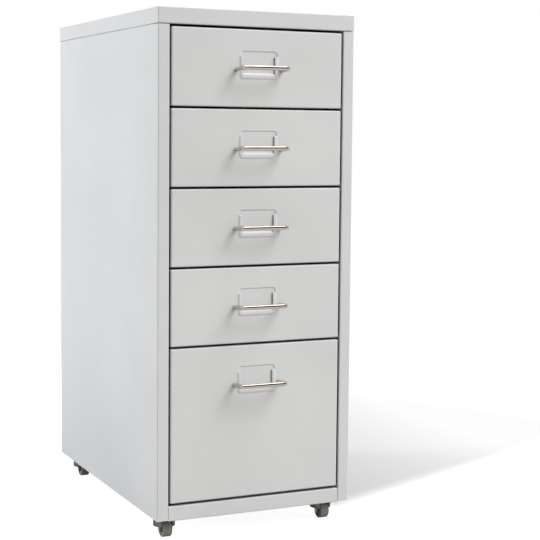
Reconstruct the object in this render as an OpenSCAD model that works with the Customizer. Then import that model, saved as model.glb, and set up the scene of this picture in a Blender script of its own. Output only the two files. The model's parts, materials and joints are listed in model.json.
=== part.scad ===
// Small metal drawer cabinet on four casters: a folded sheet carcass, four shallow
// drawers and one deep one. Millimetres, +Z up, +Y towards the back. The origin is on
// the floor, under the middle of the whole cabinet with its handles.

/* [Cabinet] */
// Width over the cover
cabinet_w = 280; // [270:1:400]
// Depth over the cover
cabinet_d = 430; // [400:1:600]
// Height from the floor to the top of the cover
cabinet_h = 690; // [620:1:900]
// Height of the cover, a closed pan that lies on the carcass
cover_h = 21; // [16:1:30]
// How far the cover stands out past the carcass's front and sides
cover_proud = 0.3; // [0.2:0.1:1]
// How far the cover stands out past the carcass's back, over the heads of the rivets
cover_back_proud = 1; // [0.8:0.1:2]
// Width of the flanges under the cover's edges
cover_flange = 12; // [11:1:14]
// Width of the stile on each side of the drawers
stile_w = 15.8; // [14:0.1:20]
// Depth of the fold behind each stile
stile_fold = 15; // [10:1:20]
// Height of the rail below the drawers
rail_h = 19.5; // [14:0.5:30]
// Depth of the fold on top of the rail
rail_fold = 10; // [6:1:12]
// How far the rail stands back from the stiles
rail_set_back = 0.4; // [0.2:0.1:2]
// Seam between the rail and the stiles
rail_seam = 0.2; // [0.1:0.1:0.5]
// How far the floor pan hangs below the side panels
pan_drop = 1.5; // [1:0.1:3]
// Height of the floor pan's edges inside the panels
pan_edge = 20; // [12:1:30]
// Width of the flanges at the back of the side panels
back_flange = 14; // [12:1:20]
// Width of the flanges that the cover lies on
top_flange = 13; // [12:1:18]
// Gap around the edges of the back panel
panel_play = 0.1; // [0.05:0.05:0.5]

/* [Sheet metal] */
// Thickness of the carcass and drawer sheet
sheet_t = 0.8; // [0.6:0.1:1.2]
// Outside radius of the folds
bend_r = 1.5; // [1.3:0.1:2.5]
// Thickness of the runners
runner_t = 1; // [0.8:0.1:1.2]

/* [Drawers] */
// Gap around the drawer fronts
front_gap = 2.3; // [1.5:0.1:4]
// Gap between the top drawer and the cover
top_gap = 3; // [2:0.1:5]
// Depth of a drawer front
front_depth = 14; // [12:1:18]
// Width of the flange behind a drawer front
front_flange = 9; // [6:0.5:12]
// Lap of the front's flange on the tray that is welded to it
weld_lap = 6; // [4:0.5:8]
// Width of the slide along each side of a tray
slide_w = 9.4; // [8:0.1:12]
// Height of the slide's lip
slide_lip = 5; // [4:0.5:8]
// Play between a slide and its runner
slide_play = 0.3; // [0.2:0.05:0.5]
// Space between a tray's slide and the stile that it passes
pass_play = 2.7; // [1.5:0.1:4]
// Length of the ears that stop a drawer
ear_l = 10; // [6:1:16]
// How far the ears stand out past the slides
ear_w = 8; // [5:0.5:9]
// Height of a tray's floor above the foot of its front
tray_lift = 5; // [4:0.5:8]
// Height of a front's top above its tray's rim
tray_drop = 18; // [12:1:26]
// Space between the trays and the back panel
tray_back_space = 22; // [12:1:30]
// How far a drawer pulls out
drawer_travel = 290; // [200:5:300]

/* [Handles] */
// Distance between the two feet of a handle
handle_span = 64; // [62:1:96]
// Diameter of the handle rod
rod_d = 6; // [5.5:0.5:7]
// Distance from the drawer front to the front of the handle
handle_out = 29; // [24:1:36]
// How much higher the grip is than its feet
handle_rise = 2; // [0:0.5:3]
// Radius of the rod's bends, at its middle
rod_bend_r = 6; // [5:0.5:10]
// Height of the front's top above the feet
handle_drop = 52.5; // [46:0.5:60]
// Diameter of the handle screws
handle_screw_d = 3; // [2.5:0.1:3.2]
// Diameter of the holes in the tray for the screwdriver
access_d = 10; // [8:1:12]

/* [Label holders] */
// Width of the pressed recess
label_w = 54; // [44:1:56]
// Height of the whole holder
label_h = 36.5; // [32:0.5:42]
// Height of the front's top above the holder
label_drop = 27.5; // [24:0.5:32]
// Depth of the recess
label_recess = 1.2; // [1:0.1:2.4]
// Radius of the recess's upper corners
label_corner_r = 3.5; // [2:0.5:6]
// Width of the strips that hold a card
label_strip = 4.6; // [3:0.1:6]
// How far the strips stand out of the front
label_rise = 1.2; // [1:0.1:1.6]
// Height of the recess above the strips
label_mouth = 7; // [4:0.5:12]

/* [Casters] */
// Height from the floor to the cabinet's floor pan
caster_h = 28.5; // [28:0.5:34]
// Diameter of the wheels
wheel_d = 22; // [18:1:22]
// Width of the wheels
wheel_w = 12.4; // [9:0.1:12.6]
// Distance from the swivel axis to the axle
caster_trail = 4.5; // [2:0.5:6]
// Distance from the cover's side to the swivel axis
caster_in_x = 24; // [23:1:40]
// Distance from the cover's front or back to the swivel axis
caster_in_y = 37; // [34:1:60]
// Width of the mounting plates
plate_w = 34; // [33:1:36]
// Length of the mounting plates
plate_l = 38; // [37:1:42]
// Thickness of the mounting plates
plate_t = 1.5; // [1.2:0.1:2]
// Diameter of a fork's crown
crown_d = 29; // [28:0.5:30]
// Thickness of a fork
fork_t = 1.2; // [1:0.1:1.4]
// Diameter of the axles
axle_d = 3.6; // [3:0.1:4.5]
// Diameter of the kingpins
kingpin_d = 6; // [5:0.5:7]
// Radial play of the wheels and the swivels
turn_play = 0.05; // [0.02:0.01:0.1]

/* [Fasteners] */
// Diameter of the caster bolts and the cover's studs
bolt_d = 4; // [3:0.5:4]
// Width of the nuts across their flats
nut_flats = 7; // [6.5:0.1:7.5]
// Height of the nuts
nut_h = 3.2; // [2.4:0.1:4]
// Diameter of the rivets in the back
rivet_d = 3.2; // [2.4:0.1:4]

/* [Hidden] */
DRAWERS = [1, 2, 3, 4, 5];
CORNERS = ["front_left", "front_right", "back_left", "back_right"];
CARCASS = ["left_side_panel", "right_side_panel", "back_panel", "floor_pan", "top_cover",
    "cover_studs", "cover_nuts", "back_rivets", "caster_bolts", "caster_nuts",
    "caster_kingpins"];

$fn = 48;
enamel = "#cfd0d2";
zinc = "#b9bcbf";
steel = "#85857f";
nickel = "#dcd8d2";
black = "#24241f";
tyre = "#5c5c55";

cut = 1;                 // how far a cutting shape passes its faces
hole_play = 0.15;        // radial play of a bolt, stud, screw or rivet in sheet
thread_play = 0.02;      // radial play of a thread drawn plain

// The cover reaches from cover_front to cover_back, and the handles stand out before it.
handle_reach = handle_out - cover_proud;
cover_back = (cabinet_d + handle_reach) / 2;
cover_front = cover_back - cabinet_d;

// The carcass below the cover
body_x = cabinet_w / 2 - cover_proud;
body_front = cover_front + cover_proud;
body_back = cover_back - cover_back_proud;
body_top = cabinet_h - cover_h;
side_foot = caster_h + pan_drop;
wall_x = body_x - sheet_t;
fold_in = bend_r - sheet_t;
back_panel_y = body_back - 2 * sheet_t;

// The opening between the stiles, and the fronts in it: the last one is two pitches high.
opening_x = body_x - stile_w;
UNITS = [1, 1, 1, 1, 2];
units_total = 6;
fronts_foot = caster_h + rail_h + front_gap;
fronts_top = body_top - top_gap;
pitch = (fronts_top - fronts_foot + front_gap) / units_total;
function units_above(i) = i == 1 ? 0 : units_above(i - 1) + UNITS[i - 2];
function front_top(i) = fronts_top - pitch * units_above(i);
function front_foot(i) = front_top(i) - pitch * UNITS[i - 1] + front_gap;
front_x = opening_x - front_gap;

// The trays: slide_x is the outside of a slide, tray_x the outside of a side.
slide_x = opening_x - pass_play;
tray_x = slide_x - slide_w;
tray_in_x = tray_x - sheet_t;
tray_front_y = body_front + front_depth;
tray_back_y = back_panel_y - tray_back_space;
ear_x = slide_x + ear_w;
ear_y = tray_back_y - ear_l;
function tray_foot(i) = front_foot(i) + tray_lift;
function tray_rim(i) = front_top(i) - tray_drop;

// The runners reach in from the side panels around the slides, from just behind the fold
// of the stile to just behind the tray. Their stops stand in the way of the ears only.
runner_gap = 3;
runner_tail = 6;
stop_clear = 2;
stop_short = 1;
runner_x = tray_x + 4 * slide_play;
runner_front_y = body_front + stile_fold + runner_gap;
runner_back_y = tray_back_y + runner_tail;
stop_in_x = slide_x + stop_clear;
stop_out_x = ear_x - stop_short;
stop_out_y = ear_y - drawer_travel - slide_play - runner_t;
stop_in_y = tray_back_y + slide_play;

// The card holders
strip_in = label_w / 2 - label_strip;
strip_lean = 0.4;        // how much wider than high a strip's slope is
strip_lift = 1.4;        // height of a strip's foot above the holder's
ridge_slope = 2.7;
ridge_over = 0.5;        // how much higher the ridge is than a strip is wide
ridge_root = 0.6;        // how far the ridge's root reaches below the holder
ridge_lean = 1.8;
pocket_foot = label_h - label_strip - ridge_slope - ridge_over;

// The casters, from the floor up
wheel_r = wheel_d / 2;
plate_z = caster_h - plate_t;
crown_play = 0.3;
race_h = 1.1;
race_r = 9;
race_slope = 1;
crown_z = plate_z - race_h - crown_play;
crown_r = crown_d / 2;
crown_skirt = 11;
crown_round = 3;
leg_in = 7;
leg_out = leg_in + fork_t;
leg_foot_r = 4.5;
kingpin_head_r = 5;
kingpin_head_h = 1.2;
axle_head_h = 1;
axle_head_r = axle_d / 2 + 1;
bolt_head_r = 3.3;
bolt_head_h = 2.2;
bolt_edge_x = 1.5;       // space between a bolt's head and the plate's side
bolt_edge_y = 0.7;       // and the plate's end
bolt_in_x = plate_w / 2 - bolt_head_r - bolt_edge_x;
bolt_in_y = plate_l / 2 - bolt_head_r - bolt_edge_y;
bolt_end = 1.2;
caster_x = cabinet_w / 2 - caster_in_x;
caster_front_y = cover_front + caster_in_y;
caster_back_y = cover_back - caster_in_y;
CASTER_AT = [[-caster_x, caster_front_y], [caster_x, caster_front_y],
    [-caster_x, caster_back_y], [caster_x, caster_back_y]];

// The studs welded to the cover's flanges pass down through those of the side panels.
stud_l = 10;
stud_x = cabinet_w / 2 - sheet_t - cover_flange / 2;
stud_in = 40;
STUD_AT = [for (x = [-stud_x, stud_x], y = [body_front + stud_in, body_back - stud_in]) [x, y]];

// The rivets that hold the back panel, four on each side
rivet_rows = 4;
rivet_in = 40;
rivet_x = body_x - back_flange / 2;
rivet_foot = side_foot + rivet_in;
rivet_step = (body_top - rivet_in - rivet_foot) / (rivet_rows - 1);

// ---- Sheet folding ----

// Direction of the leg of a path that starts at point i
function leg(path, i) = (path[i + 1] - path[i]) / norm(path[i + 1] - path[i]);
// Positive where leg i turns left into the next one
function turn(path, i) = let(a = leg(path, i - 1), b = leg(path, i)) a.x * b.y - a.y * b.x;
// Length of leg that the fold at point i takes up, on the side that the path follows
function fold_at(path, i, side, t) =
    i == 0 || i == len(path) - 1 ? 0 : turn(path, i) * side > 0 ? bend_r : bend_r - t;

module between(a, b) {
    translate([min(a.x, b.x), min(a.y, b.y)]) square([abs(a.x - b.x), abs(a.y - b.y)]);
}

// Section of sheet that follows a path of square turns: the sheet lies to the left of the
// path where side is 1 and to the right where it is -1, and each turn is a true arc.
module folded(path, side = 1, t = sheet_t) {
    for (i = [0:len(path) - 2]) {
        d = leg(path, i);
        a = path[i] + d * fold_at(path, i, side, t);
        b = path[i + 1] - d * fold_at(path, i + 1, side, t);
        between(a, b + side * t * [-d.y, d.x]);
    }
    for (i = [1:len(path) - 2]) {
        fold = fold_at(path, i, side, t);
        out = leg(path, i - 1) - leg(path, i);
        translate(path[i] - fold * out) intersection() {
            difference() {
                circle(bend_r);
                circle(bend_r - t);
            }
            between([0, 0], out * bend_r);
        }
    }
}

// Rectangle from a to b with rounded corners
module rounded(a, b, r) {
    between(a + [r, 0], b - [r, 0]);
    between(a + [0, r], b - [0, r]);
    for (x = [a.x + r, b.x - r], y = [a.y + r, b.y - r]) translate([x, y]) circle(r);
}

// A sketch in X and Z, made solid from y0 to y1
module along_y(y0, y1) {
    translate([0, y1, 0]) rotate([90, 0, 0]) linear_extrude(y1 - y0) children();
}

// A sketch in Y and Z, made solid from x0 to x1
module along_x(x0, x1) {
    translate([x0, 0, 0]) rotate([90, 0, 90]) linear_extrude(x1 - x0) children();
}

// A sketch in X and Y, made solid from z0 to z1
module along_z(z0, z1) {
    translate([0, 0, z0]) linear_extrude(z1 - z0) children();
}

module block(a, b) {
    translate(a) cube(b - a);
}

// A block whose edges along X and Z are rounded
module soft_block(a, b, r) {
    intersection() {
        along_z(a.z, b.z) rounded([a.x, a.y], [b.x, b.y], r);
        along_x(a.x, b.x) rounded([a.y, a.z], [b.y, b.z], r);
    }
}

// ---- Carcass ----

// Left side panel: stile, side and back flange in one sheet, with a flange under the cover
module side_panel() {
    relief = 2;
    y0 = body_front + stile_fold + relief;
    y1 = body_back - back_flange;
    difference() {
        union() {
            difference() {
                along_z(side_foot, body_top - fold_in)
                    folded([[-opening_x, body_front + stile_fold], [-opening_x, body_front],
                        [-body_x, body_front], [-body_x, body_back],
                        [-body_x + back_flange, body_back]], -1);
                block([-body_x - cut, y0, body_top - bend_r], [-body_x + bend_r, y1, body_top + cut]);
            }
            along_y(y0, y1)
                folded([[-body_x, body_top - 2 * bend_r], [-body_x, body_top],
                    [-body_x + top_flange, body_top]], -1);
        }
        for (p = STUD_AT) if (p.x < 0)
            translate([p.x, p.y, body_top - sheet_t - cut])
                cylinder(r = bolt_d / 2 + hole_play, h = sheet_t + 2 * cut);
        rivets_at(-1) rotate([90, 0, 0])
            cylinder(r = rivet_d / 2 + hole_play, h = 8 * sheet_t, center = true);
    }
}

module left_side_panel() {
    color(enamel) side_panel();
}

module right_side_panel() {
    color(enamel) mirror([1, 0, 0]) side_panel();
}

// Puts a rivet's shape on the back flange at each of its places, on one side or both
module rivets_at(sides) {
    for (s = sides == 0 ? [-1, 1] : [sides], k = [0:rivet_rows - 1])
        translate([s * rivet_x, body_back, rivet_foot + k * rivet_step]) children();
}

module back_panel() {
    x = wall_x - fold_in - panel_play;
    color(enamel) difference() {
        block([-x, back_panel_y, caster_h + sheet_t + panel_play],
            [x, back_panel_y + sheet_t, body_top - panel_play]);
        rivets_at(0) rotate([90, 0, 0])
            cylinder(r = rivet_d / 2 + hole_play, h = 8 * sheet_t, center = true);
    }
}

// Floor pan: the front rail, the floor and the edges that stand up inside the panels
module floor_pan() {
    rail_y = body_front + rail_set_back;
    rail_x = opening_x - rail_seam;
    rail_lip = 6;
    relief = 1;
    floor_y = body_front + stile_fold + relief;
    edge_z = caster_h + pan_edge;
    color(enamel) difference() {
        union() {
            along_x(-rail_x, rail_x)
                folded([[rail_y + rail_fold, caster_h + rail_h - rail_lip],
                    [rail_y + rail_fold, caster_h + rail_h], [rail_y, caster_h + rail_h],
                    [rail_y, caster_h], [back_panel_y, caster_h], [back_panel_y, edge_z]]);
            along_y(floor_y, back_panel_y - bend_r)
                folded([[-wall_x, edge_z], [-wall_x, caster_h], [wall_x, caster_h],
                    [wall_x, edge_z]]);
        }
        for (c = CASTER_AT) bolts_at(c)
            translate([0, 0, caster_h - cut])
                cylinder(r = bolt_d / 2 + hole_play, h = sheet_t + 2 * cut);
    }
}

// Form of the cover, all its edges rounded, or of the space inside it
module cover_form(inset, r) {
    x = cabinet_w / 2 - inset;
    y0 = cover_front + inset;
    y1 = cover_back - inset;
    z0 = body_top + inset;
    z1 = cabinet_h - inset;
    intersection() {
        along_z(z0, z1) rounded([-x, y0], [x, y1], r);
        along_y(y0, y1) rounded([-x, z0], [x, z1], r);
        along_x(-x, x) rounded([y0, z0], [y1, z1], r);
    }
}

// Cover: a pan turned upside down, with flanges that turn in below it all round
module top_cover() {
    color(enamel) difference() {
        cover_form(0, bend_r);
        cover_form(sheet_t, fold_in);
        block([cover_flange - cabinet_w / 2, cover_front + cover_flange, body_top - cut],
            [cabinet_w / 2 - cover_flange, cover_back - cover_flange, body_top + 2 * sheet_t]);
    }
}

module cover_studs() {
    color(zinc) for (p = STUD_AT) translate([p.x, p.y, body_top - stud_l])
        cylinder(r = bolt_d / 2, h = stud_l);
}

module nut() {
    difference() {
        cylinder(r = nut_flats / sqrt(3), h = nut_h, $fn = 6);
        translate([0, 0, -cut]) cylinder(r = bolt_d / 2 + thread_play, h = nut_h + 2 * cut);
    }
}

module cover_nuts() {
    color(zinc) for (p = STUD_AT) translate([p.x, p.y, body_top - sheet_t - nut_h]) nut();
}

// Rivet through two sheets, its head outside at Y = 0 and its bulb inside
module rivet() {
    grip = 2 * sheet_t;
    head_h = 0.8;
    bulb_h = 1.6;
    rotate([90, 0, 0]) {
        translate([0, 0, -head_h]) cylinder(r1 = rivet_d / 2, r2 = rivet_d, h = head_h);
        cylinder(r = rivet_d / 2, h = grip);
        translate([0, 0, grip]) cylinder(r1 = rivet_d * 0.75, r2 = rivet_d / 2, h = bulb_h);
    }
}

module back_rivets() {
    color(zinc) rivets_at(0) rivet();
}

// Left runner of drawer i: a channel open towards the tray, with a stop at each end
module runner(i) {
    channel_foot = tray_rim(i) - slide_lip - slide_play - runner_t;
    channel_top = tray_rim(i) + 2 * slide_play + runner_t;
    along_y(runner_front_y, runner_back_y)
        folded([[-runner_x, channel_foot], [-wall_x, channel_foot], [-wall_x, channel_top],
            [-runner_x, channel_top]], -1, runner_t);
    for (y = [stop_out_y, stop_in_y])
        block([-stop_out_x, y, channel_foot],
            [-stop_in_x, y + runner_t, tray_rim(i) + slide_play]);
}

module runners(i) {
    color(zinc) for (s = [0, 1]) mirror([s, 0, 0]) runner(i);
}

// ---- Drawers ----

// Outline of the recess, from the front's top down, with rounded upper corners
module recess_outline(i, grow) {
    top = front_top(i) - label_drop + grow;
    x = label_w / 2 + grow;
    r = label_corner_r + grow;
    between([-x, front_top(i) - label_drop - pocket_foot - grow], [x, top - r]);
    between([-x + r, top - 2 * r], [x - r, top]);
    for (s = [-1, 1]) translate([s * (x - r), top - r]) circle(r);
}

// Side strip of a card holder, seen from above: it stands out of the front and bends back
// into it past the recess
module strip_section() {
    edge = label_w / 2;
    slope = label_rise + strip_lean;
    root = edge + sheet_t;
    polygon([[strip_in, -label_rise], [root - slope, -label_rise], [root, 0],
        [root, sheet_t], [edge, sheet_t], [edge - slope, sheet_t - label_rise],
        [strip_in, sheet_t - label_rise]]);
}

// Ridge below the card, seen from the side, from the holder's top down
module ridge_section() {
    foot = -label_h - ridge_root;
    top = -pocket_foot;
    polygon([[sheet_t, top], [0, top], [-label_rise, top - ridge_slope],
        [-label_rise, foot + ridge_lean], [0, foot], [sheet_t, foot]]);
}

module label_strips(i) {
    top = front_top(i) - label_drop;
    root = label_w / 2 + sheet_t;
    for (s = [0, 1]) mirror([s, 0, 0])
        translate([0, body_front, 0]) along_z(top - label_h + strip_lift, top - label_mouth)
            strip_section();
    translate([0, body_front, top]) along_x(-root, root) ridge_section();
}

// Puts a shape at each foot of drawer i's handle, on the face of its front
module feet_at(i) {
    for (x = [-handle_span / 2, handle_span / 2])
        translate([x, body_front, front_top(i) - handle_drop]) rotate([90, 0, 0]) children();
}

// Front of drawer i: a shallow pan with a pressed card holder and a flange behind
module drawer_front(i) {
    foot = front_foot(i);
    top = front_top(i);
    back = body_front + front_depth;
    color(enamel) {
        difference() {
            union() {
                difference() {
                    soft_block([-front_x, body_front, foot], [front_x, back, top], bend_r);
                    soft_block([-front_x + sheet_t, body_front + sheet_t, foot + sheet_t],
                        [front_x - sheet_t, back - sheet_t, top - sheet_t], bend_r - sheet_t);
                    block([-tray_x + weld_lap, back - 2 * sheet_t, foot + tray_lift + weld_lap],
                        [tray_x - weld_lap, back + cut, top - front_flange]);
                }
                along_y(body_front, body_front + label_recess + sheet_t)
                    recess_outline(i, sheet_t);
            }
            along_y(body_front - cut, body_front + label_recess) recess_outline(i, 0);
            feet_at(i) cylinder(r = handle_screw_d / 2 + hole_play, h = 8 * sheet_t, center = true);
        }
        label_strips(i);
    }
}

// Section of a tray: floor and sides, and slides that end in a lip or in an ear
module tray_section(i, ear) {
    rim = tray_rim(i);
    floor_z = tray_foot(i) + sheet_t;
    left = ear ? [[-ear_x, rim]] : [[-slide_x, rim - slide_lip], [-slide_x, rim]];
    right = ear ? [[ear_x, rim]] : [[slide_x, rim], [slide_x, rim - slide_lip]];
    folded(concat(left, [[-tray_in_x, rim], [-tray_in_x, floor_z], [tray_in_x, floor_z],
        [tray_in_x, rim]], right), -1);
}

module drawer_tray(i) {
    color(enamel) {
        along_y(tray_front_y, ear_y) tray_section(i, false);
        along_y(ear_y, tray_back_y) tray_section(i, true);
    }
}

// Walls that are welded in at both ends of a tray: the front one has holes for a screwdriver
module drawer_tray_ends(i) {
    color(enamel) difference() {
        for (y = [tray_front_y, tray_back_y - sheet_t]) along_y(y, y + sheet_t)
            rounded([-tray_in_x, tray_foot(i) + sheet_t], [tray_in_x, tray_rim(i) - bend_r],
                fold_in);
        translate([0, tray_front_y - body_front, 0]) feet_at(i)
            cylinder(r = access_d / 2, h = 4 * sheet_t, center = true);
    }
}

// Handle: a bent rod that leans up a little, its feet cut flush with the front and drilled
module handle_rod() {
    reach = norm([handle_out - rod_d / 2, handle_rise]);
    half = handle_span / 2;
    leg_l = reach - rod_bend_r;
    screw_l = 8.5;
    difference() {
        rotate([-atan2(handle_rise, handle_out - rod_d / 2), 0, 0]) {
            for (s = [0, 1]) mirror([s, 0, 0]) {
                translate([half, cut, 0]) rotate([90, 0, 0])
                    cylinder(r = rod_d / 2, h = leg_l + cut);
                translate([half - rod_bend_r, -leg_l, 0]) mirror([0, 1, 0])
                    rotate_extrude(angle = 90) translate([rod_bend_r, 0]) circle(r = rod_d / 2);
            }
            translate([rod_bend_r - half, -reach, 0]) rotate([0, 90, 0])
                cylinder(r = rod_d / 2, h = handle_span - 2 * rod_bend_r);
        }
        block([-half - rod_d, 0, -rod_d], [half + rod_d, 2 * cut, rod_d]);
        for (x = [-half, half]) translate([x, cut, 0]) rotate([90, 0, 0])
            cylinder(r = handle_screw_d / 2 + thread_play, h = screw_l + cut);
    }
}

module drawer_handle(i) {
    color(nickel) translate([0, body_front, front_top(i) - handle_drop]) handle_rod();
}

// Screw from inside the front into a foot of the handle
module handle_screw() {
    shank_l = 8;
    head_h = 2;
    translate([0, 0, -sheet_t]) cylinder(r = handle_screw_d / 2, h = shank_l + sheet_t);
    translate([0, 0, -sheet_t - head_h]) cylinder(r = handle_screw_d, h = head_h);
}

module drawer_handle_screws(i) {
    color(zinc) feet_at(i) handle_screw();
}

// ---- Casters ----

// Puts a shape at each bolt of the caster that swivels about the point c
module bolts_at(c) {
    for (x = [-bolt_in_x, bolt_in_x], y = [-bolt_in_y, bolt_in_y])
        translate([c.x + x, c.y + y, 0]) children();
}

module caster_bolts() {
    color(zinc) for (c = CASTER_AT) bolts_at(c) {
        translate([0, 0, plate_z - bolt_head_h]) cylinder(r = bolt_head_r, h = bolt_head_h);
        translate([0, 0, plate_z])
            cylinder(r = bolt_d / 2, h = plate_t + sheet_t + nut_h + bolt_end);
    }
}

module caster_nuts() {
    color(zinc) for (c = CASTER_AT) bolts_at(c) translate([0, 0, caster_h + sheet_t]) nut();
}

// Mounting plate with the pressed seat of the swivel below it
module caster_plate(c) {
    color(black) difference() {
        union() {
            along_z(plate_z, caster_h)
                rounded([c.x - plate_w / 2, c.y - plate_l / 2],
                    [c.x + plate_w / 2, c.y + plate_l / 2], 3);
            translate([c.x, c.y, plate_z - race_h])
                cylinder(r1 = race_r - race_slope, r2 = race_r, h = race_h);
        }
        translate([c.x, c.y, plate_z - race_h - cut])
            cylinder(r = kingpin_d / 2 + thread_play, h = plate_t + race_h + 2 * cut);
        bolts_at(c) translate([0, 0, plate_z - cut])
            cylinder(r = bolt_d / 2 + hole_play, h = plate_t + 2 * cut);
    }
}

module caster_kingpins() {
    head_z = crown_z - fork_t - crown_play / 2;
    color(zinc) for (c = CASTER_AT) translate([c.x, c.y, head_z - kingpin_head_h]) {
        cylinder(r1 = kingpin_head_r - 0.5, r2 = kingpin_head_r, h = kingpin_head_h);
        translate([0, 0, kingpin_head_h]) cylinder(r = kingpin_d / 2, h = caster_h - head_z);
    }
}

// Half section of a fork's crown: a flat top that rounds over into a skirt
module crown_section() {
    hole_r = kingpin_d / 2 + turn_play;
    round_z = crown_z - crown_round;
    between([hole_r, crown_z - fork_t], [crown_r - crown_round, crown_z]);
    between([crown_r - fork_t, crown_z - crown_skirt], [crown_r, round_z]);
    translate([crown_r - crown_round, round_z]) intersection() {
        difference() {
            circle(crown_round);
            circle(crown_round - fork_t);
        }
        square(crown_round);
    }
}

// Outline of a fork's leg seen from the side, the swivel axis at 0
module leg_outline() {
    shoulder = sqrt(crown_r * crown_r - leg_out * leg_out);
    shoulder_z = crown_z - crown_skirt / 2 - 1;
    polygon([[-shoulder, crown_z - crown_round], [shoulder, crown_z - crown_round],
        [shoulder, shoulder_z], [leg_foot_r - caster_trail, wheel_r],
        [-leg_foot_r - caster_trail, wheel_r], [-shoulder, shoulder_z]]);
    between([-shoulder + fork_t, crown_z - crown_round], [shoulder - fork_t, crown_z]);
    translate([-caster_trail, wheel_r]) circle(leg_foot_r);
}

module caster_fork(c) {
    color(steel) translate([c.x, c.y, 0]) difference() {
        union() {
            difference() {
                rotate_extrude() crown_section();
                block([-leg_in, -crown_d, crown_z - crown_skirt - cut],
                    [leg_in, crown_d, crown_z - fork_t]);
            }
            for (s = [0, 1]) mirror([s, 0, 0]) along_x(leg_in, leg_out) leg_outline();
        }
        translate([0, -caster_trail, wheel_r]) rotate([0, 90, 0])
            cylinder(r = axle_d / 2 + thread_play, h = 2 * crown_d, center = true);
    }
}

module caster_axle(c) {
    length = 2 * (leg_out + axle_head_h);
    color(zinc) translate([c.x - length / 2, c.y - caster_trail, wheel_r]) rotate([0, 90, 0]) {
        cylinder(r = axle_d / 2, h = length);
        for (z = [0, length - axle_head_h]) translate([0, 0, z])
            cylinder(r = axle_head_r, h = axle_head_h);
    }
}

// Half section of a wheel: a tread with rounded edges on a hub that is a little wider
module wheel_section() {
    edge_r = 1.2;
    hub_wall = 2.2;
    hub_play = 0.25;
    tread = 3;
    dish = 1;
    hub_r = axle_d / 2 + hub_wall;
    hub_w = 2 * (leg_in - hub_play);
    bore_r = axle_d / 2 + turn_play;
    rim_r = wheel_r - tread;
    between([bore_r, -hub_w / 2], [hub_r, hub_w / 2]);
    between([hub_r, dish - wheel_w / 2], [rim_r, wheel_w / 2 - dish]);
    between([rim_r, -wheel_w / 2], [wheel_r - edge_r, wheel_w / 2]);
    between([wheel_r - edge_r, edge_r - wheel_w / 2], [wheel_r, wheel_w / 2 - edge_r]);
    for (z = [edge_r - wheel_w / 2, wheel_w / 2 - edge_r])
        translate([wheel_r - edge_r, z]) circle(edge_r);
}

module caster_wheel(c) {
    color(tyre) translate([c.x, c.y - caster_trail, wheel_r]) rotate([0, 90, 0])
        rotate_extrude($fn = 96) wheel_section();
}

// ---- Nodes ----

left_side_panel();
right_side_panel();
back_panel();
floor_pan();
top_cover();
cover_studs();
cover_nuts();
back_rivets();
caster_bolts();
caster_nuts();
caster_kingpins();
for (i = DRAWERS) {
    runners(i);
    drawer_front(i);
    drawer_tray(i);
    drawer_tray_ends(i);
    drawer_handle(i);
    drawer_handle_screws(i);
}
for (k = [0:3]) {
    caster_plate(CASTER_AT[k]);
    caster_fork(CASTER_AT[k]);
    caster_axle(CASTER_AT[k]);
    caster_wheel(CASTER_AT[k]);
}
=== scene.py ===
# Small metal drawer cabinet on four casters: its finishes, the pressed drawer fronts, the
# bent rod handles, a plain studio and the camera. Metres, in the construction's own frame.
import json
from math import cos, hypot, radians, sin

import bmesh
import bpy
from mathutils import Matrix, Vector

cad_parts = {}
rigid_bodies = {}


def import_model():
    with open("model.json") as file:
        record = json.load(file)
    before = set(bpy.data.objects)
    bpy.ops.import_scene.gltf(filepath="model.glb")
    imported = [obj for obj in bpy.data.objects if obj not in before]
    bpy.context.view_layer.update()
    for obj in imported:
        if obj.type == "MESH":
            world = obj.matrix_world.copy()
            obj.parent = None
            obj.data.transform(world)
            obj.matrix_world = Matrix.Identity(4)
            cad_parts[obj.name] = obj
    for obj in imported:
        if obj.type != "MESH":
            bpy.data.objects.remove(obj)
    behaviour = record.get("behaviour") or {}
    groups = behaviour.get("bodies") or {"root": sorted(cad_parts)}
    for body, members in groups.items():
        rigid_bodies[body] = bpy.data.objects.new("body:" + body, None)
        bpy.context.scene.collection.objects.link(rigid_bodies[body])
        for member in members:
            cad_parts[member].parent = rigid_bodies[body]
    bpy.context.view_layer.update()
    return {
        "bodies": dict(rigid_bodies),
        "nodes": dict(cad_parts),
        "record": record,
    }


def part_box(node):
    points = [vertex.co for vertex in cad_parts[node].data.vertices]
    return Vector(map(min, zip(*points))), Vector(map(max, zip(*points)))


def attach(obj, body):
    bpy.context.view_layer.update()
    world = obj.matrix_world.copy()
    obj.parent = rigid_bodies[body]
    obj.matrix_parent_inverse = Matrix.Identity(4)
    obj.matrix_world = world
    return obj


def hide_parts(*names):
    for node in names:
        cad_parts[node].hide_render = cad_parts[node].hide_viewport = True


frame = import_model()
nodes = frame["nodes"]
drawerCount = sum(body.startswith("drawer_") for body in frame["bodies"])
mm = 0.001


# Camera
cameraView = {
    "place": (-0.7528, -1.8444, 0.5328),
    "turn": (85.375, -0.522, -25.117),  # degrees about X, Y and Z
    "sensor": 36,  # mm
    "lens": 92.07,  # mm
    "shift": (-0.0018, -0.0475),  # the eye is level with the upper drawers
    "clip": (0.05, 60),  # nearest and furthest that it sees
}

cameraData = bpy.data.cameras.new("camera")
cameraData.sensor_width = cameraView["sensor"]
cameraData.lens = cameraView["lens"]
cameraData.shift_x, cameraData.shift_y = cameraView["shift"]
cameraData.clip_start, cameraData.clip_end = cameraView["clip"]
camera = bpy.data.objects.new("camera", cameraData)
camera.location = cameraView["place"]
camera.rotation_euler = [radians(angle) for angle in cameraView["turn"]]
bpy.context.scene.collection.objects.link(camera)
bpy.context.scene.camera = camera
print("camera placed")


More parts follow.
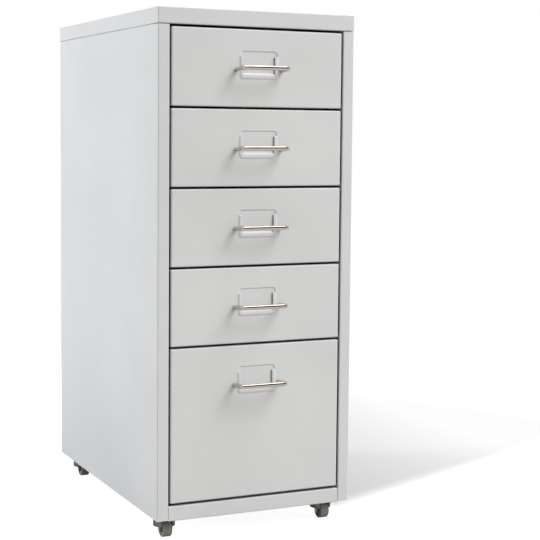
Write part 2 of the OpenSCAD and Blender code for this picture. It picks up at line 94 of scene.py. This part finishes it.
def hexColour(text):
    # sRGB hex to the linear values that the shaders work in
    parts = [int(text[i:i + 2], 16) / 255 for i in (1, 3, 5)]
    return [p / 12.92 if p <= 0.04045 else ((p + 0.055) / 1.055) ** 2.4 for p in parts] + [1]


def addNode(tree, kind, inputs=None, links=None, **settings):
    # inputs are values for sockets, links are (node, output) pairs, settings are the node's own
    node = tree.nodes.new("ShaderNode" + kind)
    for name, value in settings.items():
        setattr(node, name, value)
    for name, value in (inputs or {}).items():
        node.inputs[name].default_value = value
    for name, (source, output) in (links or {}).items():
        tree.links.new(source.outputs[output], node.inputs[name])
    return node


def newMaterial(name, inputs):
    # A Principled surface with plain values, ready for patterns
    material = bpy.data.materials.new(name)
    material.use_nodes = True
    tree = material.node_tree
    shader = tree.nodes["Principled BSDF"]
    for socket, value in inputs.items():
        shader.inputs[socket].default_value = value
    return material, tree, shader


def perMetre(sizeInMm):
    # Scale of a pattern whose features are this far apart
    return 1 / (sizeInMm * mm)


def mottle(tree, shader, pattern, look, tones=(0.35, 0.65), glosses=(0.3, 0.7)):
    # Two colours and two roughnesses, from a pattern's low places to its high ones. tones and
    # glosses say at which values of the pattern the first one ends and the second is full
    ramp = addNode(tree, "ValToRGB", links={"Fac": (pattern, "Fac")})
    for stop, value, colour in zip(ramp.color_ramp.elements, tones, look["colours"]):
        stop.position = value
        stop.color = hexColour(colour)
    (first, full), (low, high) = glosses, look["roughness"]
    gloss = addNode(tree, "MapRange", {"From Min": first, "From Max": full, "To Min": low, "To Max": high},
                    {"Value": (pattern, "Fac")})
    tree.links.new(ramp.outputs["Color"], shader.inputs["Base Color"])
    tree.links.new(gloss.outputs["Result"], shader.inputs["Roughness"])
    return ramp


# Finishes: sizes in mm, colours and roughness from the pattern's low places to its high ones
enamelLook = {
    "colours": ("#D0D1D3", "#D6D7D9"),  # where the coat is thicker, and where it is thinner
    "roughness": (0.33, 0.42),
    "cloud": 160,  # between thicker places
    "peel": 3.2,  # between the waves of the orange peel
    "peelHeight": 0.012,
    "paintedShadeReach": 6,  # how far the painted shade of a narrow seam reaches
    "paintedShadeOpen": (0.1, 0.42),  # how open a seam is where that painted shade is full, and where it ends
    "paintedShadeDark": 0.05,  # how dark the painted shade makes the coat deep in a seam
}


def makeBakedEnamel():
    # Grey enamel sprayed on sheet steel and baked: even colour, soft broad highlights and a
    # faint orange peel that breaks up the reflections
    look = enamelLook
    material, tree, shader = newMaterial("bakedGreyEnamel", {"IOR": 1.5})
    place = addNode(tree, "TexCoord")
    cloud = addNode(tree, "TexNoise", {"Scale": perMetre(look["cloud"]), "Detail": 3, "Roughness": 0.5},
                    {"Vector": (place, "Object")})
    coat = mottle(tree, shader, cloud, look)
    peel = addNode(tree, "TexNoise", {"Scale": perMetre(look["peel"]), "Detail": 1},
                   {"Vector": (place, "Object")})
    bump = addNode(tree, "Bump", {"Strength": 1, "Distance": look["peelHeight"] * mm},
                   {"Height": (peel, "Fac")})
    # Painted shade: the coat's colour is darkened where seams, gaps and corners are closed in, standing in
    # for the shade that falls there
    openness = addNode(tree, "AmbientOcclusion", {"Distance": look["paintedShadeReach"] * mm}, samples=8)
    deep, outside = look["paintedShadeOpen"]
    seam = addNode(tree, "MapRange", {"From Min": deep, "From Max": outside, "To Min": look["paintedShadeDark"],
                                      "To Max": 1}, {"Value": (openness, "AO")})
    shaded = addNode(tree, "Mix", {0: 1}, {6: (coat, "Color"), 7: (seam, "Result")},
                     data_type="RGBA", blend_type="MULTIPLY")
    tree.links.new(shaded.outputs[2], shader.inputs["Base Color"])
    tree.links.new(bump.outputs["Normal"], shader.inputs["Normal"])
    return material


zincLook = {"colours": ("#A9AEB4", "#C3C7CB"), "roughness": (0.45, 0.25), "spangle": 6}


def makeZincPlate():
    # Bright zinc plated in a barrel and passivated: a cool metal with cloudy, slightly duller
    # patches from pieces that lay against each other
    look = zincLook
    material, tree, shader = newMaterial("barrelPlatedZinc", {"Metallic": 1})
    place = addNode(tree, "TexCoord")
    cloud = addNode(tree, "TexNoise", {"Scale": perMetre(look["spangle"]), "Detail": 4},
                    {"Vector": (place, "Object")})
    mottle(tree, shader, cloud, look)
    return material


nickelLook = {
    "colours": ("#C0B8AC", "#CBC3B7"),
    "roughness": 0.06,
    "draw": 0.7,  # between the lines that drawing left, coarser than real so that they show
    "drawHeight": 0.002,
    "drawStrength": 0.6,
    "drawStretch": 0.04,  # how little the lines change along the rod
}


def makeNickelPlate():
    # Nickel plated over drawn wire and polished: a warm, nearly mirror-bright metal with faint
    # lines that run along the rod
    look = nickelLook
    material, tree, shader = newMaterial("polishedNickelPlate",
                                         {"Metallic": 1, "Roughness": look["roughness"]})
    place = addNode(tree, "TexCoord")
    along = addNode(tree, "Mapping", {"Scale": (look["drawStretch"], 1, 1)}, {"Vector": (place, "Object")})
    lines = addNode(tree, "TexNoise", {"Scale": perMetre(look["draw"]), "Detail": 2},
                    {"Vector": (along, "Vector")})
    ramp = addNode(tree, "ValToRGB", links={"Fac": (lines, "Fac")})
    for stop, colour in zip(ramp.color_ramp.elements, look["colours"]):
        stop.color = hexColour(colour)
    bump = addNode(tree, "Bump", {"Strength": look["drawStrength"],
                                  "Distance": look["drawHeight"] * mm}, {"Height": (lines, "Fac")})
    tree.links.new(ramp.outputs["Color"], shader.inputs["Base Color"])
    tree.links.new(bump.outputs["Normal"], shader.inputs["Normal"])
    return material


blackLook = {"colours": ("#262622", "#33322E"), "roughness": (0.35, 0.5), "grain": 1.5}


def makeBlackEnamel():
    # Black enamel dipped and baked on pressed steel: dark, a little uneven in its gloss
    look = blackLook
    material, tree, shader = newMaterial("dippedBlackEnamel", {"IOR": 1.5})
    place = addNode(tree, "TexCoord")
    grain = addNode(tree, "TexNoise", {"Scale": perMetre(look["grain"]), "Detail": 3},
                    {"Vector": (place, "Object")})
    mottle(tree, shader, grain, look, tones=(0, 1), glosses=(0, 1))
    return material


casterLook = {"colours": ("#5E5E58", "#86867F"), "roughness": (0.5, 0.3), "patch": 4}


def makeCasterSteel():
    # Pressed steel with a thin zinc plate left dull: a dark grey metal, patchy where the press
    # drew it out
    look = casterLook
    material, tree, shader = newMaterial("dullPlatedPressedSteel", {"Metallic": 1})
    place = addNode(tree, "TexCoord")
    patch = addNode(tree, "TexNoise", {"Scale": perMetre(look["patch"]), "Detail": 5, "Roughness": 0.6},
                    {"Vector": (place, "Object")})
    mottle(tree, shader, patch, look)
    return material


wheelLook = {
    "colours": ("#8C8882", "#9A958E"),  # the second where the wheel is scuffed
    "roughness": (0.48, 0.62),
    "grain": 0.8,  # coarser than real so that it shows
    "grainHeight": 0.02,
}


def makeWheelPlastic():
    # Polypropylene moulded against a spark-eroded tool: matt grey with a fine grain, and paler
    # where it has rolled
    look = wheelLook
    material, tree, shader = newMaterial("mouldedGreyPolypropylene", {"IOR": 1.49})
    place = addNode(tree, "TexCoord")
    grain = addNode(tree, "TexNoise", {"Scale": perMetre(look["grain"]), "Detail": 2},
                    {"Vector": (place, "Object")})
    mottle(tree, shader, grain, look, tones=(0.4, 0.8), glosses=(0, 1))
    bump = addNode(tree, "Bump", {"Strength": 1, "Distance": look["grainHeight"] * mm},
                   {"Height": (grain, "Fac")})
    tree.links.new(bump.outputs["Normal"], shader.inputs["Normal"])
    return material


finishes = {
    "grey_enamel": makeBakedEnamel(),
    "zinc_plate": makeZincPlate(),
    "nickel_plate": makeNickelPlate(),
    "caster_steel": makeCasterSteel(),
    "black_enamel": makeBlackEnamel(),
    "grey_wheel": makeWheelPlastic(),
}
slotOf = {part["node"]: part["material_slot"] for part in frame["record"]["subparts"]}
for name, node in nodes.items():
    node.data.materials.clear()
    node.data.materials.append(finishes[slotOf[name]])
print("finishes:", len(finishes), "on", len(nodes), "nodes")


# Drawer fronts, in mm
frontPan = {
    "sheet": 0.8,
    "play": (0.15, 0.3),  # how much smaller than its solid the pan is: beside, above and below
    "footPlay": 1.1,  # and below the deep drawer, where the gap is looked down into
    "edge": 2.1,  # outside radius of the folds
    "flange": 9,  # width of the flange behind
    "flangeCorner": 0.5,  # radius of the corners at the flange's inner edge
    "faceCorner": 0.3,  # least radius of the corners of the flat face
    "arcSteps": 6,
    "smooth": 40,  # degrees, the sharpest turn that is shaded smooth
}
cardHolder = {
    "sheet": 0.8,
    "drop": 27.5,  # from the front's top to the recess
    "width": 54,
    "height": 36.5,
    "depth": 1.2,  # of the pressed recess
    "ramp": 1.9,  # how far the recess's wall leans
    "corner": 4.2,
    "mouth": 7,  # height of the recess above the rim
    "rise": 1.2,  # how far the rim stands out
    "rim": 4.6,  # width of the rim
    # how the rim swells out of the sheet: distance in from its outer edge, and share of its rise
    "swell": ((-1.4, 0), (-0.9, 0.05), (-0.3, 0.24), (0.4, 0.62), (1.1, 0.92), (1.9, 1)),
    "swellBehind": (2, 0.4),  # from where to where the back of the sheet follows that swell
    "lip": 0.3,  # how much of the rim's inner edge is taken off
    "fall": 1.2,  # length over which the rim's ends go down into the sheet
    "slope": 2.7,  # height of the ramp that leads from the recess up to the rim
    "slopeGap": 0.5,  # between the rim and the crest of that ramp
    "slopeCrest": 1,  # width of its crest
    "slopeTuck": 0.04,  # how far its crest lies below the rim's face
    "slopeEnds": 0.6,  # how far its ends reach in behind the rim's sides
    "cornerSteps": 8,
    "smooth": 50,  # degrees
}


def roundedOutline(left, right, bottom, top, radius, steps):
    # Points of a rounded rectangle, anticlockwise from the lower left corner
    corners = [(left + radius, bottom + radius, 180), (right - radius, bottom + radius, 270),
               (right - radius, top - radius, 0), (left + radius, top - radius, 90)]
    return [(x + radius * cos(radians(start + 90 * k / steps)),
             z + radius * sin(radians(start + 90 * k / steps)))
            for x, z, start in corners for k in range(steps + 1)]


def addRing(bm, points, y):
    return [bm.verts.new((x, y, z)) for x, z in points]


def skin(bm, ringA, ringB):
    # Faces between two rings of as many points
    count = len(ringA)
    for k in range(count):
        bm.faces.new((ringA[k], ringA[(k + 1) % count], ringB[(k + 1) % count], ringB[k]))


def newPiece(name, bm, slot, body):
    # Turns a bmesh into a piece with its finish, on the body that carries it
    bmesh.ops.recalc_face_normals(bm, faces=bm.faces)
    mesh = bpy.data.meshes.new(name)
    bm.to_mesh(mesh)
    bm.free()
    mesh.materials.append(finishes[slot])
    piece = bpy.data.objects.new(name, mesh)
    bpy.context.scene.collection.objects.link(piece)
    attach(piece, body)
    return piece


def shade(piece, angle):
    # Smooth over gentle turns and crisp at sharper ones, with flat faces flat up to their folds
    for face in piece.data.polygons:
        face.use_smooth = True
    piece.data.set_sharp_from_angle(angle=radians(angle))
    weighted = piece.modifiers.new("flat faces", "WEIGHTED_NORMAL")
    weighted.weight = 100
    weighted.keep_sharp = True


def makeFront(number):
    # A shallow pan pressed from one sheet, open behind, with the recess for a card
    node = "drawer_%d_front" % number
    low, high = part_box(node)
    steps = frontPan["arcSteps"]
    edge, flange, flangeCorner, faceCorner = (frontPan[key] * mm for key in
                                              ("edge", "flange", "flangeCorner", "faceCorner"))
    beside, above = (value * mm for value in frontPan["play"])
    below = frontPan["footPlay"] * mm if number == drawerCount else above
    face, back = low.y + cardHolder["rise"] * mm, high.y

    def outline(inset, radius):
        return roundedOutline(low.x + beside + inset, high.x - beside - inset,
                              low.z + below + inset, high.z - above - inset, radius, steps)

    bm = bmesh.new()
    rings = [addRing(bm, outline(flange, flangeCorner), back)]
    leans = [radians(90 * k / steps) for k in range(steps + 1)]
    for lean in leans:  # the fold between the flange and the wall
        rings.append(addRing(bm, outline(edge * (1 - sin(lean)), edge), back - edge * (1 - cos(lean))))
    for lean in leans:  # the fold between the wall and the face
        inset = edge * (1 - cos(lean))
        rings.append(addRing(bm, outline(inset, max(edge - inset, faceCorner)),
                             face + edge * (1 - sin(lean))))
    for ringA, ringB in zip(rings, rings[1:]):
        skin(bm, ringA, ringB)

    top = high.z - cardHolder["drop"] * mm
    half = cardHolder["width"] / 2 * mm
    foot = top - (cardHolder["height"] - cardHolder["rim"] / 2) * mm
    depth, ramp, corner = (cardHolder[key] * mm for key in ("depth", "ramp", "corner"))
    holderRings = []
    for k in range(steps + 1):
        share = k / steps
        inset = ramp * share
        sink = depth * (3 * share * share - 2 * share ** 3)  # eased at both ends
        holderRings.append(addRing(bm, roundedOutline(
            inset - half, half - inset, foot, top - inset, corner, cardHolder["cornerSteps"]), face + sink))
    for ringA, ringB in zip(holderRings, holderRings[1:]):
        skin(bm, ringA, ringB)
    bm.faces.new(holderRings[-1])
    edges = [bm.edges.get((ring[k], ring[k - 1])) for ring in (rings[-1], holderRings[0])
             for k in range(len(ring))]
    bmesh.ops.triangle_fill(bm, use_beauty=True, edges=edges, normal=(0, -1, 0))
    piece = newPiece(node + "_pan", bm, "grey_enamel", "drawer_%d" % number)
    solid = piece.modifiers.new("sheet", "SOLIDIFY")
    solid.thickness = frontPan["sheet"] * mm
    solid.offset = -1
    shade(piece, frontPan["smooth"])
    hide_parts(node)
    return face, top, half


def rimPath(top, half):
    # The outer edge of the rim: down the left side, along the foot and up the right side
    corner, height, mouth, fall = (cardHolder[key] * mm for key in ("corner", "height", "mouth", "fall"))
    foot, upper, steps = top - height, top - mouth, cardHolder["cornerSteps"]
    points = [(-half, upper), (-half, upper - fall), (-half, foot + corner)]
    for k in range(1, steps + 1):
        turn = radians(90 * k / steps)
        points.append((-half + corner * (1 - cos(turn)), foot + corner * (1 - sin(turn))))
    return points + [(-x, z) for x, z in reversed(points)]


def rimSection():
    # Distances in from the rim's outer edge, and depths behind the front's face
    rise, sheet, width, lip = (cardHolder[key] * mm for key in ("rise", "sheet", "rim", "lip"))
    swell = [(inward * mm, -rise * share) for inward, share in cardHolder["swell"]]
    flat, foot = (inward * mm for inward in cardHolder["swellBehind"])
    return [(swell[0][0], sheet / 2), *swell, (width - lip, -rise), (width, lip - rise),
            (width, sheet - rise), (flat, sheet - rise), (foot, sheet)]


def makeRim(number, face, top, half):
    # The raised rim that holds a card: its sides are cut free of the sheet at their inner
    # edges, so a card slides down behind them, and a ramp leads from the recess to its foot
    points, section = rimPath(top, half), rimSection()
    last = len(points) - 1
    bm = bmesh.new()
    loops = []
    for k, (x, z) in enumerate(points):
        before, after = points[max(k - 1, 0)], points[min(k + 1, last)]
        dx, dz = after[0] - before[0], after[1] - before[1]
        inX, inZ = -dz / hypot(dx, dz), dx / hypot(dx, dz)
        sunk = k in (0, last)  # the ends go down into the sheet
        loops.append([bm.verts.new((x + inX * inward, face + (max(y, 0) if sunk else y), z + inZ * inward))
                      for inward, y in section])
    for ringA, ringB in zip(loops, loops[1:]):
        skin(bm, ringA, ringB)
    bm.faces.new(loops[0])
    bm.faces.new(loops[-1])

    rise, depth, width = (cardHolder[key] * mm for key in ("rise", "depth", "rim"))
    slope, gap, flat, tuck, reach = (cardHolder[key] * mm for key in (
        "slope", "slopeGap", "slopeCrest", "slopeTuck", "slopeEnds"))
    crest = top - cardHolder["height"] * mm + width + gap
    ramp = [(crest - flat, depth), (crest - flat, tuck - rise), (crest, tuck - rise), (crest + slope, depth)]
    side = half - width + reach
    ends = [[bm.verts.new((x, face + y, z)) for z, y in ramp] for x in (-side, side)]
    skin(bm, *ends)
    for end in ends:
        bm.faces.new(end)
    piece = newPiece("drawer_%d_card_rim" % number, bm, "grey_enamel", "drawer_%d" % number)
    shade(piece, cardHolder["smooth"])


for number in range(1, drawerCount + 1):
    makeRim(number, *makeFront(number))
print("drawer fronts pressed")


# Handles, in mm
handleBend = {
    "rod": 6,  # its diameter
    "bend": 6,  # radius of the bends, at the rod's middle
    "out": 29,  # from the drawer's front to the far side of the grip
    "rise": 2,  # of the grip above its feet
    "span": 64,  # between the middles of the feet
    "bendSteps": 10,
    "roundSteps": 8,  # of the rod's own circle
}


def makeHandle(number):
    # One rod bent twice, a little higher at the grip than at its feet
    node = "drawer_%d_handle" % number
    low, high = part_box(node)
    radius, bend, half = (value * mm for value in (
        handleBend["rod"] / 2, handleBend["bend"], handleBend["span"] / 2))
    out, rise = handleBend["out"] * mm - radius, handleBend["rise"] * mm
    face, footZ, reach, steps = high.y, low.z + radius, hypot(out, rise), handleBend["bendSteps"]
    flat = [(-half, 0), (-half, reach - bend)]
    for k in range(1, steps + 1):
        turn = radians(90 * k / steps)
        flat.append((-half + bend * (1 - cos(turn)), reach - bend + bend * sin(turn)))
    flat += [(-x, away) for x, away in reversed(flat)]
    curve = bpy.data.curves.new(node + "_rod", "CURVE")
    curve.dimensions = "3D"
    curve.bevel_depth = radius
    curve.bevel_resolution = handleBend["roundSteps"]
    curve.use_fill_caps = True
    line = curve.splines.new("POLY")
    line.points.add(len(flat) - 1)
    for point, (x, away) in zip(line.points, flat):
        point.co = (x, face - away * out / reach, footZ + away * rise / reach, 1)
    line.use_smooth = True
    curve.materials.append(finishes["nickel_plate"])
    rod = bpy.data.objects.new(node + "_rod", curve)
    bpy.context.scene.collection.objects.link(rod)
    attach(rod, "drawer_%d" % number)
    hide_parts(node)


for number in range(1, drawerCount + 1):
    makeHandle(number)
print("handles bent")


# Studio, in metres
studio = {
    "paper": "#B3B3B3",  # the white sweep, as it is exposed
    "bounce": "#B2AEA4",  # how much of its light goes back up to the cabinet
    "floorSize": 14,
    "white": (0.45, 1.8),  # from the cabinet's middle, where the floor turns into the backdrop
    "lift": 0.9,  # light that the floor shows to the eye only
    "mirrorLift": 0.26,  # and light that it shows in reflections only
    "shadowFrom": (0.14, -0.2, 0),  # the corner that the painted shadow on the right starts from
    "shadowSide": (-0.38, 0.92, 0),  # square to its near edge
    "shadowEdge": (0.015, 0.095),  # how soft the near edge is
    "shadowStart": (-0.01, 0.03),  # and how soft its edge along the cabinet is
    "shadowLift": (0.085, 0.42),  # what the floor shows of that light in the painted shadow, near and far
    "shadowReach": 0.46,  # beside the cabinet, where the painted shadow is at its faintest
    "shadowFade": (0.8, 1.6),  # from the cabinet's middle, where it stops altogether
    "ceiling": 0.5,  # how much light it gives, and the same for the two walls
    "ceilingHeight": (0.2, 0.9),  # height of a direction at which it starts and is full
    "wall": 1.32,
    "wallSide": (0.7, -0.7, 0.1),  # the direction of the white wall on the right of the eye
    "back": 0.6,
    "backSide": (0.3, 0.95, 0.05),  # the direction of the wall behind the cabinet
    "wallWidth": (0.3, 0.9),  # how near to that direction a wall starts and is full
    "room": "#241C17",  # the dark room in front of the cabinet, which only reflections show
    "roomFront": (-0.1, -0.4),  # how far to the front the room starts and is full
    "roomTop": (0.77, 0.86),  # height at which the room ends and the bright ceiling starts
    "mirroredCeiling": 4.7,  # how bright the ceiling is in reflections
}
lamps = {
    "leftBox": {"place": (-4.2, 1.9, 1.5), "aim": (0, 0, 0.35), "size": (1.6, 2.2), "watts": 168,
                "colour": "#F6FAFF"},
    "rightBox": {"place": (4.1, -5.0, 6.9), "aim": (0, -0.2, 0.35), "size": (4.5, 4.5), "watts": 458,
                 "colour": "#FFFFFF"},
}


def floorLiftWithPaintedShadow(tree, place, away):
    # Light that the floor shows to the eye: full all round, and little of it in a painted shadow on the
    # right, a wedge drawn by place over the left lamp's real shadow
    start = addNode(tree, "VectorMath", {1: studio["shadowFrom"]}, {0: (place, "Object")},
                    operation="SUBTRACT")
    behind = addNode(tree, "VectorMath", {1: studio["shadowSide"]}, {0: (start, "Vector")},
                     operation="DOT_PRODUCT")
    across = addNode(tree, "SeparateXYZ", links={"Vector": (start, "Vector")})
    first, full = studio["shadowEdge"]
    edge = addNode(tree, "MapRange", {"From Min": first, "From Max": full}, {"Value": (behind, "Value")},
                   interpolation_type="SMOOTHSTEP")
    first, full = studio["shadowStart"]
    beside = addNode(tree, "MapRange", {"From Min": first, "From Max": full}, {"Value": (across, "X")},
                     interpolation_type="SMOOTHSTEP")
    last, gone = studio["shadowFade"]
    fade = addNode(tree, "MapRange", {"From Min": last, "From Max": gone, "To Min": 1, "To Max": 0},
                   {"Value": (away, "Value")})
    # The painted shadow's wedge: behind its near edge, beside the cabinet, and fading further off
    strip = addNode(tree, "Math", links={0: (edge, "Result"), 1: (beside, "Result")}, operation="MULTIPLY")
    paintedShadowWedge = addNode(tree, "Math", links={0: (strip, "Value"), 1: (fade, "Result")}, operation="MULTIPLY")
    near, distant = studio["shadowLift"]
    paintedShadowLift = addNode(tree, "MapRange", {"From Max": studio["shadowReach"], "To Min": near,
                                          "To Max": distant}, {"Value": (across, "X")})
    return addNode(tree, "MapRange", {"To Min": studio["lift"]},
                   {"Value": (paintedShadowWedge, "Value"), "To Max": (paintedShadowLift, "Result")})


def makePaper():
    # White paper sweep: matt, it keeps the cabinet's shadow faintly, has a painted shadow on the right, and
    # turns into plain white further off
    material, tree, shader = newMaterial("whitePaperSweep", {"Roughness": 0.9, "Specular IOR Level": 0.1})
    place = addNode(tree, "TexCoord")
    away = addNode(tree, "VectorMath", links={0: (place, "Object")}, operation="LENGTH")
    first, full = studio["white"]
    far = addNode(tree, "MapRange", {"From Min": first, "From Max": full}, {"Value": (away, "Value")},
                  interpolation_type="SMOOTHSTEP")
    path = addNode(tree, "LightPath")
    mirrored = addNode(tree, "Math", links={0: (path, "Is Glossy Ray"), 1: (path, "Is Transmission Ray")},
                       operation="MAXIMUM")
    seen = addNode(tree, "Math", links={0: (path, "Is Camera Ray"), 1: (mirrored, "Value")},
                   operation="MAXIMUM")
    paper = addNode(tree, "Mix", {6: hexColour(studio["bounce"]), 7: hexColour(studio["paper"])},
                    {0: (seen, "Value")}, data_type="RGBA")
    tree.links.new(paper.outputs[2], shader.inputs["Base Color"])
    lift = floorLiftWithPaintedShadow(tree, place, away)
    byEye = addNode(tree, "Math", links={0: (path, "Is Camera Ray"), 1: (lift, "Result")},
                    operation="MULTIPLY")
    byMirror = addNode(tree, "Math", {1: studio["mirrorLift"]}, {0: (mirrored, "Value")},
                       operation="MULTIPLY")
    shown = addNode(tree, "Math", links={0: (byEye, "Value"), 1: (byMirror, "Value")}, operation="MAXIMUM")
    glow = addNode(tree, "Emission", links={"Strength": (shown, "Value")})
    lifted = addNode(tree, "AddShader", links={0: (shader, "BSDF"), 1: (glow, "Emission")})
    white = addNode(tree, "Emission", {"Strength": 1})
    share = addNode(tree, "Math", links={0: (seen, "Value"), 1: (far, "Result")}, operation="MULTIPLY")
    mixed = addNode(tree, "MixShader", links={0: (share, "Value"), 1: (lifted, "Shader"),
                                              2: (white, "Emission")})
    tree.links.new(mixed.outputs["Shader"], tree.nodes["Material Output"].inputs["Surface"])
    return material


def makeFloor():
    # One square of paper under everything
    size = studio["floorSize"] / 2
    bm = bmesh.new()
    bm.faces.new([bm.verts.new((x * size, y * size, 0)) for x, y in ((-1, -1), (1, -1), (1, 1), (-1, 1))])
    mesh = bpy.data.meshes.new("floor")
    bm.to_mesh(mesh)
    bm.free()
    mesh.materials.append(makePaper())
    floor = bpy.data.objects.new("floor", mesh)
    bpy.context.scene.collection.objects.link(floor)


def makeWorld():
    # A pale ceiling and two white walls light the cabinet softly. Reflections show white all
    # round, a brighter ceiling and the dark room in front, and the eye sees plain white
    world = bpy.data.worlds.new("studioAir")
    bpy.context.scene.world = world
    world.use_nodes = True
    tree = world.node_tree
    tree.nodes.clear()
    place = addNode(tree, "TexCoord")
    height = addNode(tree, "SeparateXYZ", links={"Vector": (place, "Generated")})
    first, full = studio["ceilingHeight"]
    light = addNode(tree, "MapRange", {"From Min": first, "From Max": full, "To Max": studio["ceiling"]},
                    {"Value": (height, "Z")}, interpolation_type="SMOOTHSTEP")
    output = "Result"
    first, full = studio["wallWidth"]
    for wall in ("wall", "back"):
        side = addNode(tree, "VectorMath", {1: studio[wall + "Side"]}, {0: (place, "Generated")},
                       operation="DOT_PRODUCT")
        glow = addNode(tree, "MapRange", {"From Min": first, "From Max": full, "To Max": studio[wall]},
                       {"Value": (side, "Value")}, interpolation_type="SMOOTHSTEP")
        light = addNode(tree, "Math", links={0: (light, output), 1: (glow, "Result")}, operation="ADD")
        output = "Value"
    air = addNode(tree, "Background", {"Color": (1, 1, 1, 1)}, {"Strength": (light, output)})

    first, full = studio["roomTop"]
    up = addNode(tree, "MapRange", {"From Min": first, "From Max": full}, {"Value": (height, "Z")},
                 interpolation_type="SMOOTHSTEP")
    below = addNode(tree, "MapRange", {"To Min": 1, "To Max": 0}, {"Value": (up, "Result")})
    first, full = studio["roomFront"]
    ahead = addNode(tree, "MapRange", {"From Min": first, "From Max": full}, {"Value": (height, "Y")},
                    interpolation_type="SMOOTHSTEP")
    room = addNode(tree, "Math", links={0: (below, "Result"), 1: (ahead, "Result")}, operation="MULTIPLY")
    walls = addNode(tree, "Mix", {6: (1, 1, 1, 1), 7: hexColour(studio["room"])}, {0: (room, "Value")},
                    data_type="RGBA")
    bright = addNode(tree, "MapRange", {"To Min": 1, "To Max": studio["mirroredCeiling"]},
                     {"Value": (up, "Result")})
    mirrored = addNode(tree, "Background", links={"Strength": (bright, "Result"), "Color": (walls, 2)})

    path = addNode(tree, "LightPath")
    glossy = addNode(tree, "Math", links={0: (path, "Is Glossy Ray"), 1: (path, "Is Transmission Ray")},
                     operation="MAXIMUM")
    seen = addNode(tree, "Background", {"Color": (1, 1, 1, 1), "Strength": 1})
    unseen = addNode(tree, "MixShader", links={0: (glossy, "Value"), 1: (air, "Background"),
                                               2: (mirrored, "Background")})
    studioAir = addNode(tree, "MixShader", links={0: (path, "Is Camera Ray"), 1: (unseen, "Shader"),
                                                  2: (seen, "Background")})
    addNode(tree, "OutputWorld", links={"Surface": (studioAir, "Shader")})


def makeLamp(name, lamp):
    data = bpy.data.lights.new(name, "AREA")
    data.shape = "RECTANGLE"
    data.size, data.size_y = lamp["size"]
    data.energy = lamp["watts"]
    data.color = hexColour(lamp["colour"])[:3]
    light = bpy.data.objects.new(name, data)
    light.location = lamp["place"]
    light.rotation_euler = (Vector(lamp["aim"]) - Vector(lamp["place"])).to_track_quat("-Z", "Y").to_euler()
    light.visible_glossy = False  # reflections show the room alone
    bpy.context.scene.collection.objects.link(light)


makeFloor()
makeWorld()
for name, lamp in lamps.items():
    makeLamp(name, lamp)
bpy.context.scene.view_settings.view_transform = "Standard"
print("studio lit by", len(lamps), "lamps")
